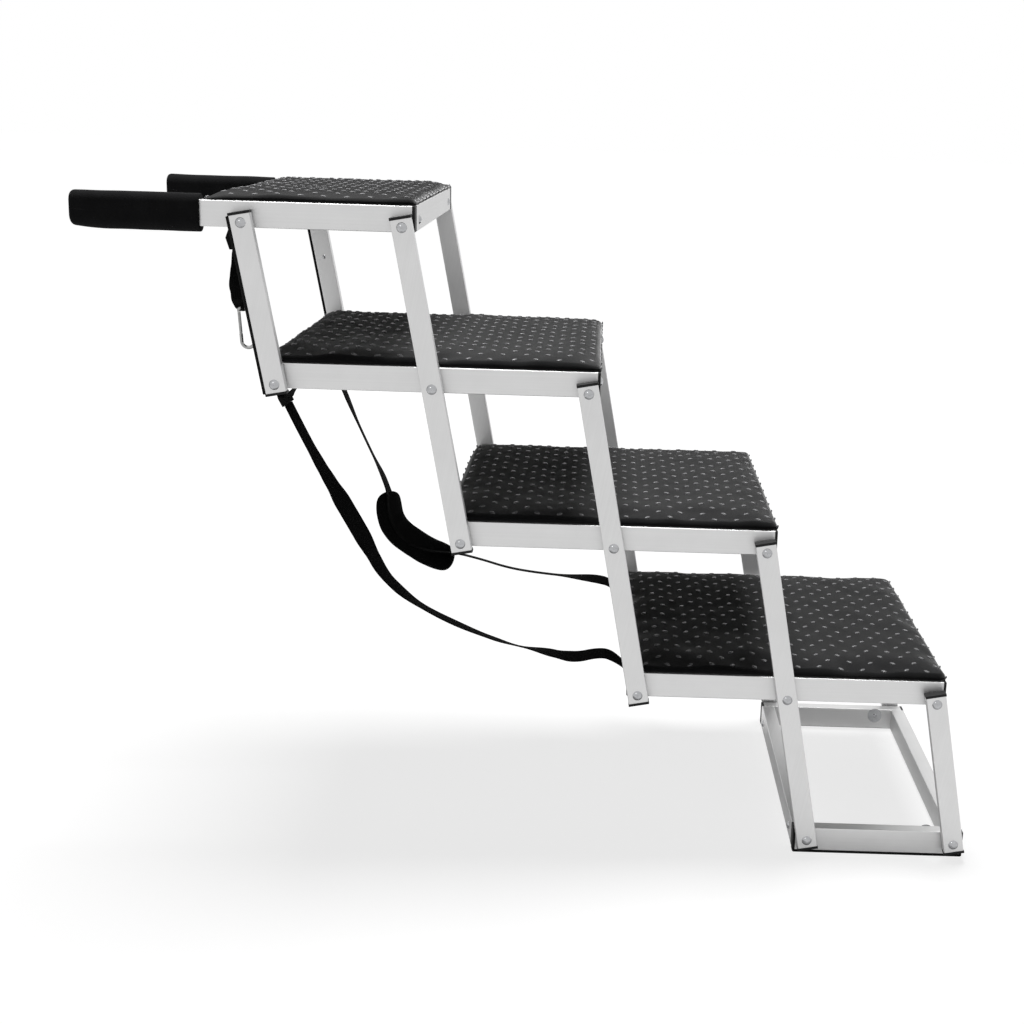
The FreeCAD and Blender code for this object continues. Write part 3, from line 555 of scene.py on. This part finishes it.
def bar_shape():
    """One bar: four lozenges of eight points, the lowest sunk in the cloth, and a point on top."""
    t = np.arange(8) / 8 * 2 * np.pi
    across = np.sign(np.sin(t)) * np.abs(np.sin(t)) ** 1.3
    ring = np.stack([np.cos(t) * bar_long / 2, across * bar_wide / 2], 1)
    levels = [(1.0, -0.4 * mm), (1.0, 0.1 * mm), (0.88, 0.8 * bar_high), (0.7, bar_high)]
    peak = [[0, 0, 1.05 * bar_high]]
    points = np.vstack([np.column_stack([ring * s, np.full(8, h)]) for s, h in levels] + [peak])
    k = np.arange(8)
    n = (k + 1) % 8
    quads = np.vstack([np.stack([k + 8 * r, n + 8 * r, n + 8 * r + 8, k + 8 * r + 8], 1) for r in range(3)])
    tops = np.stack([k + 24, n + 24, np.full(8, 32)], 1)
    return points, quads, tops, k[::-1]


def bars(level):
    """All bars of a mat: a staggered lattice on the flat cloth, each turned to the cover's tangents."""
    _, half, middle = mats[level]
    reach = np.asarray(half) + 4 * mm
    rng = np.random.default_rng(70 + level)
    cells = [np.arange(-int(r / p) - 1, int(r / p) + 2) for r, p in zip(reach, (pitch_x, pitch_y / 2))]
    i, j = (c.ravel() for c in np.meshgrid(*cells, indexing="ij"))
    p = (i + 0.5 * (j % 2)) * pitch_x + rng.normal(0, 0.5 * mm, i.shape)
    q = j * pitch_y / 2 + rng.normal(0, 0.5 * mm, i.shape)
    keep = (np.abs(p) < reach[0]) & (np.abs(q) < reach[1])
    i, j, p, q = i[keep], j[keep], p[keep], q[keep]
    aside = 0.5 * mm
    at = cover(p, q, half, level)
    du = cover(p + aside, q, half, level) - cover(p - aside, q, half, level)
    dv = cover(p, q + aside, half, level) - cover(p, q - aside, half, level)
    normal = np.cross(du, dv)
    normal /= np.linalg.norm(normal, axis=1)[:, None]
    slant = np.where((i + j) % 2 == 0, bar_slant, -bar_slant) + rng.normal(0, 4, i.shape)
    slant = np.radians(slant)[:, None]
    du /= np.linalg.norm(du, axis=1)[:, None]
    dv = np.cross(normal, du)
    first = np.cos(slant) * du + np.sin(slant) * dv
    second = np.cos(slant) * dv - np.sin(slant) * du
    points, quads, tops, foot = bar_shape()
    placed = (at[:, None] + points[None, :, :1] * first[:, None] + points[None, :, 1:2] * second[:, None]
              + points[None, :, 2:] * normal[:, None] + middle)
    shift = (np.arange(len(at)) * len(points))[:, None, None]
    faces = [face for group in (quads, tops, foot[None])
             for face in (group[None] + shift).reshape(-1, group.shape[1]).tolist()]
    mesh = bpy.data.meshes.new(f"step_{level}_mat_bars")
    mesh.from_pydata(placed.reshape(-1, 3).tolist(), [], faces)
    mesh.polygons.foreach_set("use_smooth", np.ones(len(mesh.polygons), bool))
    piece = bpy.data.objects.new(f"step_{level}_mat_bars", mesh)
    bpy.context.scene.collection.objects.link(piece)
    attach(piece, f"step_{level}")
    return piece


grip_bars = [bars(level) for level in mats]
print("bars on the mats:", [len(piece.data.vertices) // len(bar_shape()[0]) for piece in grip_bars])

# %% [markdown]
# ## The handle grips
# The ends of the top side rails wear sleeves of closed-cell foam, closed at the rear. Foam is cut and
# slid on, so it has soft corners, a slightly uneven skin and a plain cut front. A sleeve is one skin
# from the middle of its rear end, forward along the outside, in at the front and back along the rail.

# %% Grips
rail_y, rail_middle = 203.5, 13.5


def frame_outline(half_y, half_z, radius, count=96):
    """A rectangle with round corners: points of a sharp one, moved to one radius from its core."""
    sharp = around((half_y, half_z), count)
    core = np.clip(sharp, [radius - half_y, radius - half_z], [half_y - radius, half_z - radius])
    way = sharp - core
    return core + way / np.linalg.norm(way, axis=1)[:, None] * radius


def grip(name, y, seed):
    """A sleeve of foam, in millimetres: round at the rear, tapering a little below, its skin uneven."""
    rear, front, inner_rear, bend = -152.0, -17.0, -148.6, 5.0
    half_y, half_z, radius = 11.7, 19.5, 11.0
    taper_from, taper_long, taper_by = -112, 40, 3.0
    # The bore is the rail's section, 17 by 27 mm, with 0.2 mm to spare all round
    outer, bore = frame_outline(half_y, half_z, radius), frame_outline(8.7, 13.7, 1.6)
    rows = [(rear + bend * (1 - np.cos(a)), frame_outline(half_y - draw, half_z - draw, radius - draw))
            for a in np.linspace(0, np.pi / 2, 9) for draw in [bend * (1 - np.sin(a))]]
    rows += [(x, outer) for x in np.linspace(rear + 8, front - 1.2, 50)]
    rows += [(front - 0.4, outer * 0.985), (front, outer * 0.95), (front, bore * 1.06)]
    rows += [(x, bore) for x in (front - 0.5, front - 20, front - 70, inner_rear)]
    table = np.array([np.column_stack([np.full(len(o), x), o]) for x, o in rows])
    outside = (np.arange(len(table)) < len(table) - 5)[:, None]
    wobble = waves(table[..., 0] * mm, (table[..., 1] + table[..., 2]) * mm, seed, 10) / mm
    lumps = 0.35 * wobble * outside
    table[..., 1] += lumps * np.sign(table[..., 1])
    table[..., 2] += lumps
    taper = taper_by * np.clip((taper_from - table[..., 0]) / taper_long, 0, 1) ** 1.5
    table[..., 2] += np.where(table[..., 2] < 0, taper, 0) * outside
    piece = skin(name, (table + [0, y, rail_middle]) * mm)
    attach(piece, "step_1")
    return piece


grips = [grip("grip_near_foam", -rail_y, 5), grip("grip_far_foam", rail_y, 6)]
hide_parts("grip_near")
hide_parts("grip_far")
print("grips", [round(d / mm) for d in grips[0].dimensions], "mm")

# %% [markdown]
# ## Materials
# Each finish is built from nodes, so it has no pictures and works at any distance. Colours are written
# as the usual hex codes for a screen. A screen's numbers are not proportional to light, so a function
# turns them to the linear values that a renderer adds up. The other helpers add nodes that are used
# again and again.

# %% Helpers for materials
def colour(code):
    """Linear colour of a hex code: ((c + 0.055) / 1.055)^2.4, or c / 12.92 where it is very dark."""
    c = np.array([int(code[k:k + 2], 16) / 255 for k in (1, 3, 5)])
    return (*np.where(c > 0.04045, ((c + 0.055) / 1.055) ** 2.4, c / 12.92).tolist(), 1.0)


def add(tree, kind, sockets=None, **settings):
    """Adds a node. Settings are its own options, sockets its inputs: values or other nodes' outputs."""
    made = tree.nodes.new(kind)
    for key, value in settings.items():
        setattr(made, key, value)
    for key, value in (sockets or {}).items():
        if isinstance(value, bpy.types.NodeSocket):
            tree.links.new(value, made.inputs[key])
        else:
            made.inputs[key].default_value = value
    return made


def surface(name, **sockets):
    """A new material with a Principled shader, whose plain numbers are set on the shader's own sockets.

    It gives the material, its tree, its shader and the texture coordinates."""
    material = bpy.data.materials.new(name)
    material.use_nodes = True
    tree = material.node_tree
    tree.nodes.clear()
    settings = {key.replace("_", " "): value for key, value in sockets.items()}
    shader = add(tree, "ShaderNodeBsdfPrincipled", settings)
    add(tree, "ShaderNodeOutputMaterial", {"Surface": shader.outputs[0]})
    return material, tree, shader, add(tree, "ShaderNodeTexCoord").outputs


def noise(tree, place, scale, detail):
    """Cloudy noise over a place, as a number from 0 to 1. The scale is in cells to a metre."""
    made = add(tree, "ShaderNodeTexNoise", {"Vector": place, "Scale": scale, "Detail": detail})
    return made.outputs[0]


def maths(tree, operation, first, second):
    """One sum on two numbers, each a value or an output."""
    return add(tree, "ShaderNodeMath", {0: first, 1: second}, operation=operation).outputs[0]


def raised(tree, shader, height, strength, distance):
    """Lets a number from 0 to 1 raise the shader's surface by a distance in metres."""
    bump = add(tree, "ShaderNodeBump", {"Height": height, "Strength": strength, "Distance": distance})
    tree.links.new(bump.outputs[0], shader.inputs["Normal"])


def vary(tree, factor, socket, low, high):
    """Sets a socket to two colours or two numbers mixed by a factor."""
    if socket.type == "RGBA":
        mix = add(tree, "ShaderNodeMix", data_type="RGBA")
        ends = [s for s in mix.inputs if s.name in ("A", "B") and s.type == "RGBA"]
        ends[0].default_value, ends[1].default_value = colour(low), colour(high)
        tree.links.new(factor, mix.inputs[0])
        tree.links.new(next(s for s in mix.outputs if s.type == "RGBA"), socket)
    else:
        mix = add(tree, "ShaderNodeMapRange", {"Value": factor, "To Min": low, "To Max": high})
        tree.links.new(mix.outputs[0], socket)


print("mid grey #808080 is", round(colour("#808080")[0], 3), "of white")

# %% [markdown]
# ### Anodised aluminium
# The rails and legs are extruded tubes, satin anodised. The die leaves faint lines along each tube, and
# the anodised skin blurs what it mirrors. The real lines are finer than a tenth of a millimetre, so they
# are drawn about 1.5 mm apart, just coarse enough to show. The pattern is stretched along X for side
# rails, along Y for cross rails and along the leaning legs.

# %% Aluminium
def extrusion(name, turn):
    """Satin aluminium whose lines run along X of the object's coordinates after a turn in degrees."""
    material, tree, shader, place = surface(name, Metallic=1.0)
    turned = add(tree, "ShaderNodeMapping",
                 {"Vector": place["Object"], "Rotation": np.radians(turn).tolist()})
    # 650 cells to a metre put the lines 1.5 mm apart; 3 to a metre let them run on
    drawn = add(tree, "ShaderNodeMapping", {"Vector": turned.outputs[0], "Scale": (3, 650, 650)})
    lines = noise(tree, drawn.outputs[0], 1.0, 3.0)
    clouds = noise(tree, place["Object"], 28.0, 4.0)
    half = maths(tree, "MULTIPLY", maths(tree, "ADD", lines, clouds), 0.5)
    vary(tree, half, shader.inputs["Base Color"], "#c8c8c8", "#dcdcdc")
    vary(tree, half, shader.inputs["Roughness"], 0.36, 0.52)
    raised(tree, shader, lines, 0.08, 0.0002)
    return material


leg_lean = 10.745
aluminium_x = extrusion("anodised_aluminium_side_rails", (0, 0, 0))
aluminium_y = extrusion("anodised_aluminium_cross_rails", (0, 0, 90))
aluminium_leg = extrusion("anodised_aluminium_legs", (0, 90 - leg_lean, 0))
print("three directions of", aluminium_x.name.split("_side")[0])

# %% [markdown]
# ### Plastics, rubber and foam
# Corner blocks, leg caps and sliders are moulded nylon, black all through, with a fine spark-eroded
# grain from the mould. The foot strips and leg strips are EPDM rubber, duller and a little softer
# looking. The grips are nitrile foam: hardly any gloss, and a skin of pores about a millimetre apart.

# %% Plastics, rubber and foam
def grained(name, dark, light, grain, rough, strength, **sockets):
    """A dull moulded surface: fine grains of a size in millimetres drive its gloss and its relief.

    A broad noise mixes its two colours."""
    material, tree, shader, place = surface(name, **sockets)
    fine = noise(tree, place["Object"], 1 / (grain * mm), 2.0)
    broad = noise(tree, place["Object"], 35.0, 3.0)
    vary(tree, broad, shader.inputs["Base Color"], dark, light)
    vary(tree, fine, shader.inputs["Roughness"], *rough)
    raised(tree, shader, fine, strength, 0.0003)
    return material


slider_nylon = grained("moulded_nylon_sliders", "#060606", "#0c0c0c", 0.8, (0.6, 0.75), 0.25,
                       Specular_IOR_Level=0.1)
nylon = grained("moulded_nylon", "#0f0f10", "#161617", 0.8, (0.5, 0.65), 0.25, Specular_IOR_Level=0.25)
rubber = grained("epdm_rubber", "#0e0e0e", "#151515", 1.2, (0.7, 0.85), 0.3, Specular_IOR_Level=0.15)
board = grained("painted_fibreboard", "#1b1b1b", "#262626", 2.0, (0.6, 0.75), 0.4, Specular_IOR_Level=0.3)
print("plastics:", nylon.name, rubber.name, board.name)

# %% Foam
foam, tree, shader, place = surface("nitrile_foam", Roughness=0.95, Specular_IOR_Level=0.08)
pore = 1.1
pores = add(tree, "ShaderNodeTexVoronoi", {"Vector": place["Object"], "Scale": 1 / (pore * mm)})
vary(tree, noise(tree, place["Object"], 60.0, 4.0), shader.inputs["Base Color"], "#151516", "#262627")
raised(tree, shader, pores.outputs["Distance"], 0.5, 0.0004)
print("foam pores", pore, "mm apart")

# %% [markdown]
# ### Steel
# The rivets are bright zinc-plated steel, and the spring hook is nickel-plated wire. Plating is smooth
# but not a mirror: a little roughness spreads the highlight over the domed heads, and faint patches
# stand for handling marks.

# %% Steel
def plated(name, dark, light, rough):
    """A plated metal with soft patches, a few millimetres wide, in its colour and gloss."""
    material, tree, shader, place = surface(name, Metallic=1.0)
    patches = noise(tree, place["Object"], 220.0, 3.0)
    vary(tree, patches, shader.inputs["Base Color"], dark, light)
    vary(tree, patches, shader.inputs["Roughness"], *rough)
    return material


zinc = plated("zinc_plated_steel", "#9c9d9f", "#bcbdbf", (0.10, 0.18))
nickel = plated("nickel_plated_steel", "#7c7d7d", "#b2b2b1", (0.08, 0.18))
print("steels:", zinc.name, nickel.name)

# %% [markdown]
# ### Cloth
# The mat cover is a black polyester cloth with a short nap, which is why it looks grey where one looks
# along it and black where one looks straight at it. The bars are PVC, thicker and glossy, so each
# catches the light in one short line. Their base is also painted mid grey, much lighter than the black
# PVC they are made of, as a painted highlight that makes them show as light dashes. The straps are
# woven polypropylene, whose ribs run across the band, and the pad's cover is a plain weave. Their
# patterns use the UV map, in metres, so that they follow the cloth through every twist.

# %% Mat cloth
mat_cloth = grained("pvc_coated_polyester", "#131314", "#1f1f20", 1.3, (0.65, 0.85), 0.7,
                    Specular_IOR_Level=0.0, Sheen_Weight=1.0, Sheen_Roughness=0.4)
# The bars' grey base is a painted highlight, lighter than black PVC; their low roughness adds real
# highlights
bar_pvc_painted_highlight = grained("raised_pvc_bars", "#4c4c4e", "#78787a", 14.0, (0.02, 0.55), 0.05, Specular_IOR_Level=0.5)
print("mat cloth:", mat_cloth.name, "with", bar_pvc_painted_highlight.name)

# %% Woven webbing and pad cover
def woven(name, dark, light, thread_u, thread_v, depth):
    """A weave on the UV map: waves along u and v whose lengths are the thread spacings in millimetres.

    A wave texture of scale s has a wave every 2 pi / 20 / s metres, so s = 0.314 / spacing."""
    material, tree, shader, place = surface(name, Roughness=0.9, Specular_IOR_Level=0.06)
    weft, warp = (add(tree, "ShaderNodeTexWave", {"Vector": place["UV"], "Scale": 0.314 / (thread * mm)},
                      bands_direction=way).outputs["Fac"]
                  for thread, way in ((thread_u, "X"), (thread_v, "Y")))
    crossed = maths(tree, "MULTIPLY", weft, warp)
    fuzz = noise(tree, place["Object"], 900.0, 2.0)
    vary(tree, maths(tree, "MULTIPLY", crossed, fuzz), shader.inputs["Base Color"], dark, light)
    raised(tree, shader, crossed, depth, 0.0004)
    return material


webbing = woven("woven_polypropylene", "#131313", "#2e2e2e", 1.6, 2.4, 0.5)
pad_cloth = woven("nylon_pad_cover", "#0f0f0f", "#242424", 1.2, 1.2, 0.4)
print("weaves:", webbing.name, pad_cloth.name)

# %% Give every node and piece its material
endings = {aluminium_x: "_side_rails", aluminium_y: "_cross_rails", aluminium_leg: "_tubes",
           nylon: "_corner_blocks _caps", zinc: "_rivets", board: "_deck", mat_cloth: "_mat",
           rubber: "_foot_strips legs_a_strips", slider_nylon: "tether_slider strap_sliders",
           nickel: "hook_body hook_gate", pad_cloth: "shoulder_pad", foam: "grip_near grip_far",
           webbing: "tether_loop tether_strap carry_strap_near carry_strap_far _loops"}
for name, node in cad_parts.items():
    found = next(material for material, ends in endings.items() if name.endswith(tuple(ends.split())))
    for slot in node.material_slots:
        slot.material = found
dressed = {mat_cloth: [mats[level][0] for level in mats], bar_pvc_painted_highlight: grip_bars, foam: grips,
           webbing: [strap_near, strap_far, *bottom_loops, *top_loops, tether_loop, tether_strap,
                     tether_fold], pad_cloth: [shoulder_pad], slider_nylon: [sliders]}
for material, pieces in dressed.items():
    for piece in pieces:
        piece.data.materials.append(material)
print("materials on", len(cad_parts), "nodes and", sum(map(len, dressed.values())), "pieces")

# %% [markdown]
# ## The straps' lines
# A cord is anything limp of a fixed length. The straps follow the splines laid out above, whose lengths
# are printed there, and the far one carries the shoulder pad.

# %% Cords
print("straps follow their splines")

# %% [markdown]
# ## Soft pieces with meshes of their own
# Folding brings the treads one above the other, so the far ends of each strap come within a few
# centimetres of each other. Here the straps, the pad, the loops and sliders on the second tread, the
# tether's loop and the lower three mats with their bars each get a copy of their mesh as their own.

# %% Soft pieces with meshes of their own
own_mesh(strap_near)
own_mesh(strap_far)
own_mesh(shoulder_pad)
for piece in top_loops:
    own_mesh(piece)
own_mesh(sliders)
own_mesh(tether_loop)
for level in (2, 3, 4):
    for piece in (mats[level][0], grip_bars[level - 1]):
        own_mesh(piece)
print("pieces that give way:", 5 + len(top_loops) + 2 * 3)

# %% [markdown]
# ## Floor and light
# The object stands on a plain white floor, in front of nothing. The light is one large soft lamp
# overhead and a little behind, which leaves the part of each mat under the next tread in shadow. A
# small weak lamp in front gives the domed rivets their highlights, and a weak even world light fills
# the rest. Rays that reach the world from the camera or off a metal see plain white, so the background
# is white without more light falling on the object. To them the floor glows too, more with the
# distance, so that it joins the background and still keeps a soft shadow. To rays off a metal this
# glow is a painted light that is weaker near the object, so the floor that the metals mirror below
# them stays darker there, which shades the lower part of the rivets' domes.

# %% Floor
floor_z, floor_reach, object_x = -0.679, 30, 0.35
ground = bpy.data.meshes.new("floor")
floor_corners = [(x * floor_reach, y * floor_reach, floor_z)
                 for x, y in ((-1, -1), (1, -1), (1, 1), (-1, 1))]
ground.from_pydata(floor_corners, [], [(0, 1, 2, 3)])
floor = bpy.data.objects.new("floor", ground)
bpy.context.scene.collection.objects.link(floor)
floor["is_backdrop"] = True
paper = bpy.data.materials.new("white_paper")
paper.use_nodes = True
tree = paper.node_tree
tree.nodes.clear()
matt = add(tree, "ShaderNodeBsdfDiffuse", {"Color": colour("#e8e8e8")})
faint = add(tree, "ShaderNodeBsdfDiffuse", {"Color": (0.3, 0.3, 0.3, 1)})
place = add(tree, "ShaderNodeTexCoord")
away = add(tree, "ShaderNodeVectorMath", {0: place.outputs["Object"], 1: (object_x, 0, floor_z)},
           operation="DISTANCE").outputs["Value"]
camera_glow = add(tree, "ShaderNodeMapRange", {"Value": away, "From Min": 1.2, "From Max": 3.0,
                                               "To Min": 0.78, "To Max": 1.0})
# Off a metal the floor glows with painted light, weaker near the object, so what metals mirror below them
# is darker there
metal_glow = add(tree, "ShaderNodeMapRange", {"Value": away, "From Min": 0.35, "From Max": 3.2,
                                              "To Min": 0.3, "To Max": 0.8})
to_camera = add(tree, "ShaderNodeEmission", {"Strength": camera_glow.outputs[0]})
to_metal = add(tree, "ShaderNodeEmission", {"Strength": metal_glow.outputs[0]})
camera_sees = add(tree, "ShaderNodeAddShader", {0: faint.outputs[0], 1: to_camera.outputs[0]})
metal_sees = add(tree, "ShaderNodeAddShader", {0: matt.outputs[0], 1: to_metal.outputs[0]})
ray = add(tree, "ShaderNodeLightPath").outputs
glossy = maths(tree, "MAXIMUM", ray["Is Glossy Ray"], ray["Is Transmission Ray"])
other = add(tree, "ShaderNodeMixShader", {0: glossy, 1: matt.outputs[0], 2: metal_sees.outputs[0]})
mixed = add(tree, "ShaderNodeMixShader", {0: ray["Is Camera Ray"], 1: other.outputs[0],
                                          2: camera_sees.outputs[0]})
add(tree, "ShaderNodeOutputMaterial", {"Surface": mixed.outputs[0]})
ground.materials.append(paper)
print("floor at", floor_z, "m")

# %% Light
world = bpy.data.worlds.new("studio")
bpy.context.scene.world = world
world.use_nodes = True
tree = world.node_tree
tree.nodes.clear()
ray = add(tree, "ShaderNodeLightPath").outputs
seen = maths(tree, "MAXIMUM", ray["Is Camera Ray"], ray["Is Glossy Ray"])
seen = maths(tree, "MAXIMUM", seen, ray["Is Transmission Ray"])
even = add(tree, "ShaderNodeBackground", {"Color": (1, 1, 1, 1), "Strength": 0.02})
white = add(tree, "ShaderNodeBackground", {"Color": (1, 1, 1, 1), "Strength": 1.0})
mixed = add(tree, "ShaderNodeMixShader", {0: seen, 1: even.outputs[0], 2: white.outputs[0]})
add(tree, "ShaderNodeOutputWorld", {"Surface": mixed.outputs[0]})


def softbox(name, place, target, width, height, power):
    """A rectangular lamp that faces a point."""
    data = bpy.data.lights.new(name, "AREA")
    data.shape, data.size, data.size_y, data.energy = "RECTANGLE", width, height, power
    lamp = bpy.data.objects.new(name, data)
    lamp.matrix_world = (Matrix.Translation(place)
                         @ (Vector(target) - Vector(place)).to_track_quat("-Z", "Y").to_matrix().to_4x4())
    bpy.context.scene.collection.objects.link(lamp)
    return lamp


object_middle = (object_x, 0, -0.3)
key = softbox("key", (0.3, 0.5, 2.7), object_middle, 1.5, 1.1, 110)
front = softbox("front", (-0.9, -2.0, 1.5), object_middle, 0.6, 0.6, 4)
bpy.context.scene.view_settings.view_transform = "Standard"
print("lamps of", round(key.data.energy), "and", round(front.data.energy), "W")

# %% [markdown]
# ## How much the dressing adds
# The dressed model can stand proud of the CAD model, so both boxes are measured and the print gives by
# how much each side has grown. The dressed model may stand only a little proud of the CAD model.

# %% Sizes and finish
scene_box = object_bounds()
pairs = zip((*cad_box[0], *cad_box[1]), (*scene_box[0], *scene_box[1]))
print("grown by", [round((b - a) / mm, 1) for a, b in pairs])
